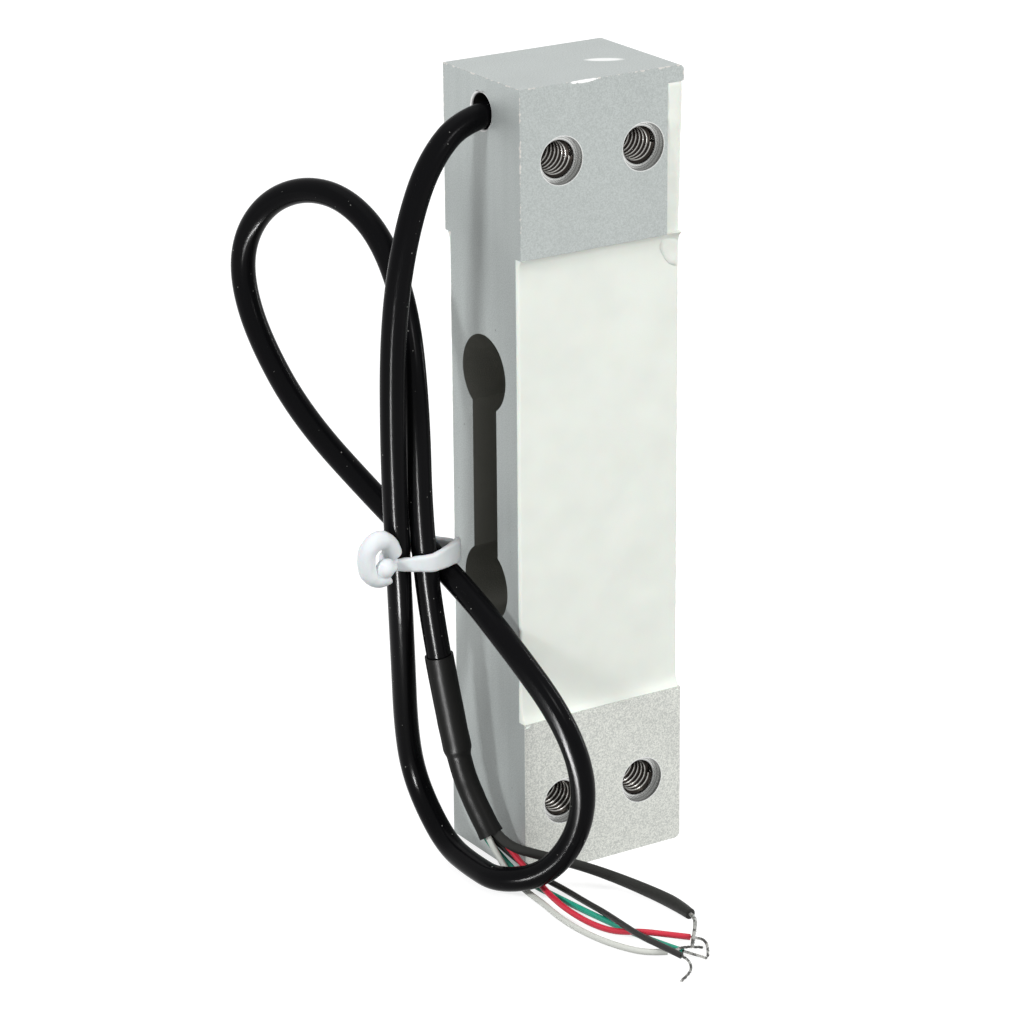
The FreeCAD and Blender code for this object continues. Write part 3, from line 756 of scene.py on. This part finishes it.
class LOADCELL_OT_bar(bpy.types.Operator):
    """Breaks the bar's edges and cuts its bolt threads"""

    bl_idname = "loadcell.bar"
    bl_label = "Bar and Threads"

    COUNTERSINK = 0.42 * MM

    def execute(self, context):
        sizes = context.scene.load_cell_sizes
        metal = metal_finish()
        bar = merged_copy("beam_body", "bar", flat_angle=0.5)
        self.countersink(bar)
        apply_modifier(
            bar, "BEVEL", width=sizes.edge_break, segments=2, limit_method="ANGLE",
            angle_limit=math.radians(40),
        )
        complete(bar, metal, ["beam_body"], smooth_angle=30)
        apply_modifier(bar, "WEIGHTED_NORMAL", weight=100, keep_sharp=True)
        thread = self.thread(sizes.thread_pitch, sizes.thread_depth)
        copies = []
        for x in (-BOLT_X, BOLT_X):
            for z in (BOLT_FROM_END, BAR_LENGTH - BOLT_FROM_END):
                copy = linked("thread", thread.data.copy())
                copy.data.transform(Matrix.Translation((x, 0, z)))
                copies.append(copy)
        bpy.data.objects.remove(thread)
        pick(*copies)
        bpy.ops.object.join()
        threads = context.view_layer.objects.active
        threads.name = "bolt_threads"
        complete(threads, thread_finish(), smooth_angle=30)
        glinting_pieces().objects.link(threads)
        return {"FINISHED"}

    def countersink(self, bar):
        """Breaks the mouth of the cable's hole wider than the other edges."""
        edit(bar)
        bpy.ops.mesh.select_all(action="DESELECT")
        bpy.ops.mesh.select_mode(type="EDGE")
        mesh = bmesh.from_edit_mesh(bar.data)
        for edge in mesh.edges:
            edge.select_set(all(
                abs(v.co.x + BAR_HALF_WIDTH) < SLACK
                and math.hypot(v.co.y, v.co.z - CABLE_HOLE_Z) < CABLE_HOLE_RADIUS + 0.1 * MM
                for v in edge.verts
            ))
        bmesh.update_edit_mesh(bar.data)
        bpy.ops.mesh.bevel(offset=self.COUNTERSINK, offset_type="OFFSET", segments=2)
        bpy.ops.object.mode_set(mode="OBJECT")

    def thread(self, pitch, depth):
        """One helical ridge between two counterbores, its axis along Y."""
        turns = int(2 * (BAR_HALF_THICKNESS - BOLT_RELIEF_DEPTH) / pitch) - 1
        start = -(turns + 1) * pitch / 2
        root, crest = BOLT_HOLE_RADIUS + 0.05 * MM, BOLT_HOLE_RADIUS - depth
        profile = [(root, 0.02), (crest, 0.42), (crest, 0.58), (root, 0.98)]
        mesh = bpy.data.meshes.new("thread")
        mesh.from_pydata(
            [(radius, start + rise * pitch, 0) for radius, rise in profile],
            [(0, 1), (1, 2), (2, 3), (3, 0)], [],
        )
        thread = linked("thread", mesh)
        apply_modifier(
            thread, "SCREW", axis="Y", screw_offset=pitch, iterations=turns,
            steps=28, render_steps=28, use_normal_calculate=True,
        )
        edit(thread)
        bpy.ops.mesh.remove_doubles(threshold=MERGE_DISTANCE)
        bpy.ops.mesh.select_all(action="DESELECT")
        bpy.ops.mesh.select_non_manifold()
        bpy.ops.mesh.edge_face_add()
        bpy.ops.object.mode_set(mode="OBJECT")
        outward(thread)
        return thread


class LOADCELL_OT_sealant(bpy.types.Operator):
    """Pours the two gauge pockets and the lead channel full of white sealant"""

    bl_idname = "loadcell.sealant"
    bl_label = "Sealant"

    SEAM_X, SEAM_Z = 14.6 * MM, 103.25 * MM
    TONGUE_SHARE = 0.72
    OVERLAPS = {0: 0.34 * MM, 2: 0.05 * MM}     # past the CAD layer, by axis
    CELLS = {0: 0.55 * MM, 2: 0.60 * MM}
    OUTER_EDGE = 0.45 * MM
    CORNER_REACH, END_REACH = 1.3 * MM, 0.8 * MM
    END_CLIMB, CORNER_CLIMB = 0.80 * MM, 0.55 * MM
    SAG, SAG_REACH = 0.7 * MM, 0.4 * MM
    STILL_SHARE = 0.4                           # of the layer's depth, which keeps its place

    def execute(self, context):
        white = sealant_finish()
        waviness = context.scene.load_cell_sizes.sealant_waviness
        for node, name in (("front_potting", "front_sealant"), ("back_potting", "back_sealant")):
            fill = self.pocket_fill(node, name, waviness)
            complete(fill, white, [node], smooth_angle=50)
        channel = merged_copy("channel_sealant", "channel_fill")
        for vertex in channel.data.vertices:
            if vertex.co.z < self.SEAM_Z - SLACK:
                vertex.co.z = self.SEAM_Z - (self.SEAM_Z - vertex.co.z) * self.TONGUE_SHARE
                vertex.co.x = self.SEAM_X - (self.SEAM_X - vertex.co.x) * self.TONGUE_SHARE
        apply_modifier(channel, "REMESH", mode="VOXEL", voxel_size=0.28 * MM)
        apply_modifier(channel, "SMOOTH", factor=0.6, iterations=6)
        ripple(channel, "Channel ripples", 3.0 * MM, 0.30 * MM, mid_level=-0.4)
        complete(channel, white, ["channel_sealant"], smooth_angle=60)
        return {"FINISHED"}

    def pocket_fill(self, node, name, waviness):
        """A poured layer with a soft outline, climbing a little at the pocket's ends."""
        low, high = (list(corner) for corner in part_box(node))
        for axis, reach in self.OVERLAPS.items():
            low[axis] -= reach
            high[axis] += reach
        floor, surface = sorted((abs(low[1]), abs(high[1])))
        fill, mesh = self.plate(name, low, high)
        at_corner = [
            e for e in mesh.edges
            if len(e.link_faces) == 2 and e.calc_face_angle(0) > 1.0
            and all(abs(v.co.x) > high[0] - SLACK for v in e.verts)
            and all(abs(v.co.y) > surface - SLACK for v in e.verts)
        ]
        edge = self.OUTER_EDGE
        bmesh.ops.bevel(mesh, geom=at_corner, offset=edge, segments=5, profile=0.5, affect="EDGES")
        for vertex in mesh.verts:
            x, y, z = vertex.co
            height = (abs(y) - floor) / (surface - floor)
            if height <= self.STILL_SHARE:
                continue
            corner = math.exp(-min(x - low[0], high[0] - x) / self.CORNER_REACH)
            end = math.exp(-min(z - low[2], high[2] - z) / self.END_REACH)
            climb = (self.END_CLIMB + self.CORNER_CLIMB * corner) * end
            vertex.co.y += math.copysign(climb * height, low[1])
            if z - low[2] < self.SAG_REACH:
                vertex.co.z -= self.SAG * corner * height
        mesh.to_mesh(fill.data)
        mesh.free()
        outside = fill.vertex_groups.new(name="outside")
        raised = [v.index for v in fill.data.vertices if abs(v.co.y) > floor + 0.2 * MM]
        outside.add(raised, 1.0, "REPLACE")
        ripple(fill, "Sealant swell", 9.0 * MM, waviness * 2, direction="Y", vertex_group="outside")
        ripple(fill, "Sealant edge", 2.5 * MM, 0.25 * MM, direction="X", vertex_group="outside")
        return fill

    def plate(self, name, low, high):
        """A box between two corners, and a bmesh of it cut into small cells."""
        size = [b - a for a, b in zip(low, high)]
        middle = [(a + b) / 2 for a, b in zip(low, high)]
        bpy.ops.mesh.primitive_cube_add(size=1, location=middle, scale=size)
        box = bpy.context.active_object
        box.name = name
        bpy.ops.object.transform_apply()
        mesh = bmesh.new()
        mesh.from_mesh(box.data)
        for axis, cell in self.CELLS.items():
            count = int(size[axis] / cell)
            facing = [int(i == axis) for i in range(3)]
            for i in range(1, count):
                at = [0, 0, 0]
                at[axis] = low[axis] + size[axis] * i / count
                geometry = mesh.verts[:] + mesh.edges[:] + mesh.faces[:]
                bmesh.ops.bisect_plane(mesh, geom=geometry, plane_co=at, plane_no=facing)
        return box, mesh


class LOADCELL_OT_inner_parts(bpy.types.Operator):
    """Gives the gauges, leads, board and cores under the sealant their finishes"""

    bl_idname = "loadcell.inner_parts"
    bl_label = "Inner Parts"

    def execute(self, context):
        finishes = {
            "gauge": polymer_finish("Gauge foil and backing", (0.42, 0.22, 0.06), 0.4),
            "leads": tinned_finish("Enamelled copper", (0.55, 0.24, 0.10)),
            "board": polymer_finish("Glass-fibre board", (0.05, 0.20, 0.08), 0.45),
            "cores": polymer_finish("Core insulation", (0.45, 0.45, 0.44), 0.5),
            "entry_sealant": polymer_finish("Entry silicone", (0.05, 0.05, 0.05), 0.5),
        }
        for title, finish in finishes.items():
            for name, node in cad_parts.items():
                if title in name:
                    node.data.materials.clear()
                    node.data.materials.append(finish)
        return {"FINISHED"}


class LOADCELL_OT_cable(bpy.types.Operator):
    """Lays the looped cable with its heat-shrink sleeve and its tie"""

    bl_idname = "loadcell.cable"
    bl_label = "Cable, Sleeve and Tie"

    # The sleeve's radii, its shoulder's lead before the cable's end, and its flare, in millimetres
    SLEEVE_WIDE, SLEEVE_NECK = 2.32, 1.95
    SHOULDER_LEAD, SHOULDER_LENGTH = 0.1, 1.5
    FLARE_LENGTH, FLARE = 1.6, 0.12
    SLEEVE_WALL = 0.28 * MM
    SLEEVE_SIDES = 40

    # The tie, in millimetres
    BELT_HEIGHT, BELT_LEFT, BELT_RIGHT = 53.2, -31.5, -21.0
    HOOK = [
        (-31.6, 0.9, 55.6), (-32.6, 0.3, 58.2), (-35.0, 0.0, 58.8), (-36.7, 0.0, 57.5),
        (-37.0, 0.0, 55.5), (-36.4, 0.0, 53.3), (-34.8, -0.2, 52.2), (-33.6, -0.7, 53.0),
    ]
    HOOK_DIAMETER = 2.6
    KNOB, KNOB_RADIUS = Vector((-34.1, -1.1, 54.3)), 1.35

    def execute(self, context):
        colours = context.scene.load_cell_colours
        jacket = polymer_finish(
            "Black PVC", tuple(colours.jacket), 0.21, dust=0.12, grain=0.003,
            Specular_IOR_Level=0.045,
        )
        shrink = polymer_finish(
            "Black heat-shrink", (0.0105, 0.0105, 0.010), 0.38, dust=0.05,
            Specular_IOR_Level=0.04,
        )
        soft = polymer_finish(
            "Soft white plastic", tuple(colours.tie), 0.5, Subsurface_Weight=0.2,
            Subsurface_Scale=0.8 * MM,
        )
        cable = tube_curve("cable", CABLE_ROUTE, CABLE_DIAMETER, rings=14, steps=16)
        complete(cable, jacket, ["cable_jacket"])
        sleeve, tie = self.sleeve(), self.tie()
        complete(sleeve, shrink, ["heat_shrink_sleeve"], smooth_angle=50)
        complete(tie, soft, ["twist_tie"], smooth_angle=180)
        for piece in (cable, sleeve):
            glinting_pieces().objects.link(piece)
        return {"FINISHED"}

    def sleeve(self):
        """A shrunk tube that narrows past the cable's end and flares at its mouth."""
        on_cable = spline_points(vectors(CABLE_ROUTE), 60)[-60:]
        on_cable = [p for p in on_cable if p.z < SLEEVE_START[2] + 0.7]
        axis = on_cable[:-1] + spline_points(sleeve_axis(), 24)
        cable_end, total = path_length(on_cable), path_length(axis)
        verts, faces = [], []
        for i, (side, up) in enumerate(frames_along(axis)):
            radius = self.sleeve_radius(path_length(axis[: i + 1]), cable_end, total)
            for j in range(self.SLEEVE_SIDES):
                angle = 2 * math.pi * j / self.SLEEVE_SIDES
                away = side * math.cos(angle) + up * math.sin(angle)
                verts.append((axis[i] + away * radius) * MM)
        for start in range(0, len(verts) - self.SLEEVE_SIDES, self.SLEEVE_SIDES):
            for j in range(self.SLEEVE_SIDES):
                a, b = start + j, start + (j + 1) % self.SLEEVE_SIDES
                faces.append((a, b, b + self.SLEEVE_SIDES, a + self.SLEEVE_SIDES))
        mesh = bpy.data.meshes.new("sleeve")
        mesh.from_pydata(verts, [], faces)
        sleeve = linked("sleeve", mesh)
        outward(sleeve)
        apply_modifier(sleeve, "SOLIDIFY", thickness=self.SLEEVE_WALL, offset=-1.0)
        ripple(sleeve, "Shrink waves", 4.0 * MM, 0.12 * MM)
        return sleeve

    def sleeve_radius(self, run, cable_end, total):
        shoulder = (run - cable_end + self.SHOULDER_LEAD) / self.SHOULDER_LENGTH
        shoulder = min(max(shoulder, 0), 1)
        shoulder = shoulder * shoulder * (3 - 2 * shoulder)
        flare = max(run - total + self.FLARE_LENGTH, 0) / self.FLARE_LENGTH * self.FLARE
        return self.SLEEVE_WIDE + (self.SLEEVE_NECK - self.SLEEVE_WIDE) * shoulder + flare

    def tie(self):
        """The belt round the strands, its end turned back in a fat hook."""
        belt = merged_copy("twist_tie", "tie")
        for vertex in belt.data.vertices:
            x, y, z = vertex.co / MM
            if y < 2.0 and z < 55.4:
                share = (x - self.BELT_LEFT) / (self.BELT_RIGHT - self.BELT_LEFT)
                spread = 0.55 + 0.6 * min(max(share, 0), 1)
                vertex.co.z = (self.BELT_HEIGHT + 0.6 + (z - self.BELT_HEIGHT) * spread) * MM
        hook = tube_curve("hook", self.HOOK, self.HOOK_DIAMETER, rings=8)
        bpy.ops.mesh.primitive_uv_sphere_add(
            segments=24, ring_count=16, radius=self.KNOB_RADIUS * MM, location=self.KNOB * MM
        )
        knob = bpy.context.active_object
        bpy.ops.object.transform_apply()
        pick(belt, as_mesh(hook), knob)
        bpy.ops.object.join()
        apply_modifier(belt, "REMESH", mode="VOXEL", voxel_size=0.14 * MM)
        apply_modifier(belt, "SMOOTH", factor=0.6, iterations=10)
        ripple(belt, "Tie creases", 2.5 * MM, 0.25 * MM, mid_level=-0.3)
        apply_modifier(belt, "SMOOTH", factor=0.5, iterations=5)
        return belt


class LOADCELL_OT_wires(bpy.types.Operator):
    """Fans out the conductors with their tinned ends, and the screen's drain wire"""

    bl_idname = "loadcell.wires"
    bl_label = "Wires"

    STRANDS, STRAND_DIAMETER, STRAND_TWISTS = 3, 0.24, 4.0
    DRAIN_DIAMETER = 0.75
    DRAIN_STRANDS, DRAIN_STRAND_DIAMETER, DRAIN_TWISTS = 4, 0.28, 6.0
    TUBING_SWELL = [1.05, 1.12, 1.22, 1.32, 1.36, 1.1]  # last points' share of its radius

    def execute(self, context):
        colours = context.scene.load_cell_colours
        tin = tinned_finish()
        for name, roughness, specular in (
            ("white", 0.35, 0.5), ("green", 0.32, 0.5), ("red", 0.32, 0.5), ("black", 0.35, 0.25)
        ):
            finish = polymer_finish(
                f"{name.title()} insulation", tuple(getattr(colours, name)), roughness,
                Specular_IOR_Level=specular,
            )
            points = wire_points(f"{name}_wire")
            wire = tube_curve(f"{name}_conductor", points, WIRE_DIAMETER, rings=8)
            complete(wire, finish, [f"{name}_wire"])
            node = f"{name}_tinned_end"
            end = twisted_strands(
                f"{name}_strands", bare_points(node), TIN_DIAMETER,
                self.STRANDS, self.STRAND_DIAMETER, self.STRAND_TWISTS,
            )
            complete(end, tin, [node])
            self.declare(wire, points, WIRE_DIAMETER, end)
        points = wire_points("shield_sleeve")
        radii = [1.0] * (len(points) - len(self.TUBING_SWELL)) + self.TUBING_SWELL
        tubing = tube_curve("screen_tubing", points, SHIELD_DIAMETER, radii, rings=8)
        shade = polymer_finish(
            "Dark tubing", (0.022, 0.0222, 0.0205), 0.5, Specular_IOR_Level=0.22
        )
        complete(tubing, shade, ["shield_sleeve"])
        drain = twisted_strands(
            "drain_strands", bare_points("drain_wire"), self.DRAIN_DIAMETER,
            self.DRAIN_STRANDS, self.DRAIN_STRAND_DIAMETER, self.DRAIN_TWISTS,
        )
        complete(drain, tin, ["drain_wire"])
        self.declare(tubing, points, SHIELD_DIAMETER, drain)
        return {"FINISHED"}

    def declare(self, wire, points, diameter, end):
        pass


class LOADCELL_OT_stage(bpy.types.Operator):
    """Sets the pale floor, the soft studio light and the camera"""

    bl_idname = "loadcell.stage"
    bl_label = "Stage"

    TARGET = Vector((-10.05, 0.0, 58.53)) * MM
    AZIMUTH, ELEVATION, ROLL = -32.17, 19.89, -0.52
    DISTANCE = 632.4 * MM
    LENS = 140.1

    LAMPS = (
        ("Key", (0.45, -0.75, 0.60), (0.6, 0.6), 7.7, (1.0, 1.0, 0.99)),
        ("Top", (-0.05, 0.10, 0.90), (0.6, 0.6), 0.70, (0.97, 0.99, 1.0)),
        ("Back fill", (0.55, 0.78, 0.16), (0.6, 0.6), 3.4, (0.97, 0.99, 1.0)),
        ("Left fill", (-0.85, -0.15, 0.52), (0.15, 0.15), 6.6, (0.98, 0.99, 1.0)),
    )
    GLINTS = (
        ("Side strip", (0.95, -0.10, 0.30), (0.03, 0.9), 3.2),
        ("Front glint", (0.10, -0.85, 0.50), (0.14, 0.14), 1.6),
    )
    STRIP_AZIMUTH = -48
    STRIP_FOOT = Vector((-27.0, 0.0, 0.5)) * MM
    STRIP_DISTANCE = 0.18
    STRIP_SIZE, STRIP_POWER = (0.30, 0.010), 2.8
    FLOOR_GLOW = 0.80
    WORLD_LIGHT, WORLD_SEEN = 0.42, 1.0

    def execute(self, context):
        self.floor()
        self.world(context.scene)
        for name, spot, size, power, tint in self.LAMPS:
            self.lamp(name, Vector(spot), size, power, tint).visible_glossy = name == "Top"
        for name, spot, size, power in self.GLINTS:
            self.glint_lamp(name, Vector(spot), size, power, self.TARGET)
        self.table_strip()
        self.camera(context.scene)
        context.scene.view_settings.view_transform = "Standard"
        return {"FINISHED"}

    def glint_lamp(self, name, spot, size, power, aim):
        """A small lamp that shows only as a highlight on the cable, sleeve and threads."""
        strip = self.lamp(name, spot, size, power, (1.0, 1.0, 1.0), aim)
        strip.visible_diffuse = False
        strip.visible_camera = False
        strip.light_linking.receiver_collection = glinting_pieces()
        return strip

    def table_strip(self):
        """A strip lying on the table in front of the cable, which upright strands reflect."""
        azimuth = math.radians(self.STRIP_AZIMUTH)
        way = Vector((math.sin(azimuth), -math.cos(azimuth), 0.0))
        spot = self.STRIP_FOOT + way * self.STRIP_DISTANCE
        above = spot + Vector((0, 0, 1))
        strip = self.glint_lamp("Table strip", spot, self.STRIP_SIZE, self.STRIP_POWER, above)
        strip.rotation_euler = (math.pi, 0.0, math.atan2(way.y, way.x))

    def floor(self):
        bpy.ops.mesh.primitive_plane_add(size=6.0, location=(0, 0, -0.02 * MM))
        floor = bpy.context.active_object
        floor.name = "floor"
        material, tree, shader = new_material(
            "Pale floor", (0.35, 0.35, 0.35), 0.9, Specular_IOR_Level=0.0
        )
        glow = times(tree, seen_rays(tree), self.FLOOR_GLOW)
        shader.inputs["Emission Color"].default_value = (1, 1, 1, 1)
        tree.links.new(glow, shader.inputs["Emission Strength"])
        floor.data.materials.append(material)

    def world(self, scene):
        """White all round, and dimmer as a light than as a sight."""
        world = bpy.data.worlds.new("Studio")
        world.use_nodes = True
        scene.world = world
        tree = world.node_tree
        background = tree.nodes["Background"]
        strength = between(tree, seen_rays(tree), self.WORLD_LIGHT, self.WORLD_SEEN)
        background.inputs["Color"].default_value = (1, 1, 1, 1)
        tree.links.new(strength, background.inputs["Strength"])

    def lamp(self, name, spot, size, power, tint, aim=None):
        data = bpy.data.lights.new(name, "AREA")
        data.shape = "RECTANGLE"
        data.size, data.size_y = size
        data.energy = power
        data.color = tint
        lamp = linked(name, data)
        lamp.location = spot
        lamp.rotation_euler = ((aim or self.TARGET) - spot).to_track_quat("-Z", "Y").to_euler()
        return lamp

    def camera(self, scene):
        azimuth, elevation = math.radians(self.AZIMUTH), math.radians(self.ELEVATION)
        away = Vector((
            math.sin(azimuth) * math.cos(elevation),
            -math.cos(azimuth) * math.cos(elevation),
            math.sin(elevation),
        ))
        data = bpy.data.cameras.new("Camera")
        data.lens = self.LENS
        camera = linked("Camera", data)
        camera.location = self.TARGET + away * self.DISTANCE
        facing = (-away).to_track_quat("-Z", "Y").to_matrix()
        tilt = Matrix.Rotation(math.radians(self.ROLL), 3, "Z")
        camera.rotation_euler = (facing @ tilt).to_euler()
        scene.camera = camera


class LOADCELL_PT_panel(bpy.types.Panel):
    """Sizes, colours and build steps of the load cell"""

    bl_idname = "LOADCELL_PT_panel"
    bl_label = "Load Cell"
    bl_space_type = "VIEW_3D"
    bl_region_type = "UI"
    bl_category = "Load Cell"

    def draw(self, context):
        scene = context.scene
        for group in (scene.load_cell_sizes, scene.load_cell_colours):
            for name in group.__annotations__:
                self.layout.prop(group, name)
        for operator in OPERATORS:
            self.layout.operator(operator.bl_idname)


OPERATORS = [
    LOADCELL_OT_stage,
    LOADCELL_OT_bar,
    LOADCELL_OT_sealant,
    LOADCELL_OT_inner_parts,
    LOADCELL_OT_cable,
    LOADCELL_OT_wires,
]
CLASSES = [LoadCellSizes, LoadCellColours, *OPERATORS, LOADCELL_PT_panel]


def register():
    for cls in CLASSES:
        bpy.utils.register_class(cls)
    bpy.types.Scene.load_cell_sizes = PointerProperty(type=LoadCellSizes)
    bpy.types.Scene.load_cell_colours = PointerProperty(type=LoadCellColours)


def unregister():
    del bpy.types.Scene.load_cell_colours
    del bpy.types.Scene.load_cell_sizes
    for cls in reversed(CLASSES):
        bpy.utils.unregister_class(cls)


def main():
    register()
    bpy.ops.loadcell.stage()
    bpy.ops.loadcell.bar()
    bpy.ops.loadcell.sealant()
    bpy.ops.loadcell.inner_parts()
    bpy.ops.loadcell.cable()
    bpy.ops.loadcell.wires()


if __name__ == "__main__":
    main()
